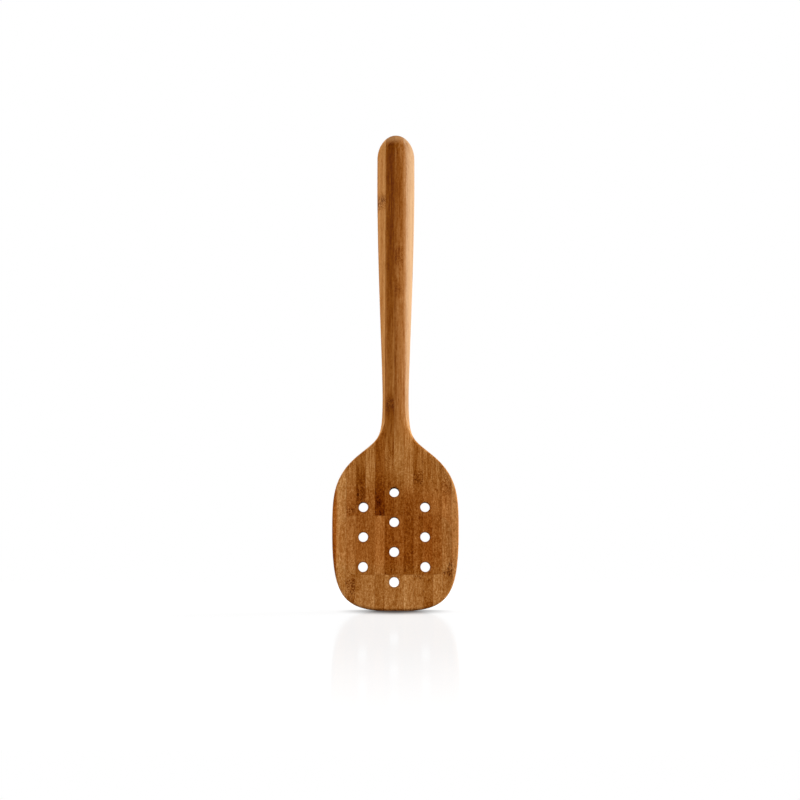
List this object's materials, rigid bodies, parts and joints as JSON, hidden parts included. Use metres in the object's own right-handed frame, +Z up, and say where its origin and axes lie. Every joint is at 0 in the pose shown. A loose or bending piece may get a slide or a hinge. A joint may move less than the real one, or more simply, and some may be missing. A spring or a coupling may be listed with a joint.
{
  "type": "skimmer spoon",
  "caption": "Skimmer spoon milled from laminated bamboo slats: a broad shallow bowl drilled with staggered drain holes, a slim neck and a round handle that swells to a domed end.",
  "frame": {"origin": "on the plane the tip stands on, below the middle of the spoon's width and depth", "axes": "+Z up along the handle, from the bowl's tip to the domed end; -Y is the hollow front of the bowl; +X is to the right when the hollow is seen from the front"},
  "size_m": [0.079, 0.0274, 0.32],
  "materials": {
    "bamboo_straw": "satin",
    "bamboo_caramel": "satin",
    "bamboo_brown": "satin",
    "bamboo_umber": "satin"
  },
  "bodies": {
    "root": {"back_slat_left_1": "bamboo_brown", "back_slat_left_2": "bamboo_straw", "back_slat_left_3": "bamboo_caramel", "back_slat_left_4": "bamboo_caramel", "back_slat_left_5": "bamboo_caramel", "back_slat_left_6": "bamboo_straw", "back_slat_left_7": "bamboo_caramel", "back_slat_right_1": "bamboo_brown", "back_slat_right_2": "bamboo_caramel", "back_slat_right_3": "bamboo_caramel", "back_slat_right_4": "bamboo_caramel", "back_slat_right_5": "bamboo_caramel", "back_slat_right_6": "bamboo_straw", "back_slat_right_7": "bamboo_caramel", "flank_slat_right_3": "bamboo_straw", "front_slat_left_1": "bamboo_umber", "front_slat_left_2": "bamboo_umber", "front_slat_left_3": "bamboo_straw", "front_slat_left_4": "bamboo_brown", "front_slat_left_5": "bamboo_caramel", "front_slat_right_1": "bamboo_brown", "front_slat_right_2": "bamboo_straw", "front_slat_right_3": "bamboo_brown", "front_slat_right_4": "bamboo_straw", "front_slat_right_5": "bamboo_straw", "front_slat_right_6": "bamboo_brown", "lip_slat_left_1": "bamboo_caramel", "lip_slat_left_2": "bamboo_brown", "lip_slat_left_3": "bamboo_straw", "lip_slat_left_4": "bamboo_straw", "lip_slat_left_5": "bamboo_brown", "lip_slat_right_1": "bamboo_caramel", "lip_slat_right_2": "bamboo_straw", "lip_slat_right_3": "bamboo_caramel", "lip_slat_right_4": "bamboo_brown", "lip_slat_right_5": "bamboo_straw", "lip_slat_right_6": "bamboo_caramel", "rim_slat_left_6": "bamboo_caramel", "rim_slat_left_7": "bamboo_caramel", "rim_slat_right_7": "bamboo_straw"}
  },
  "joints": []
}
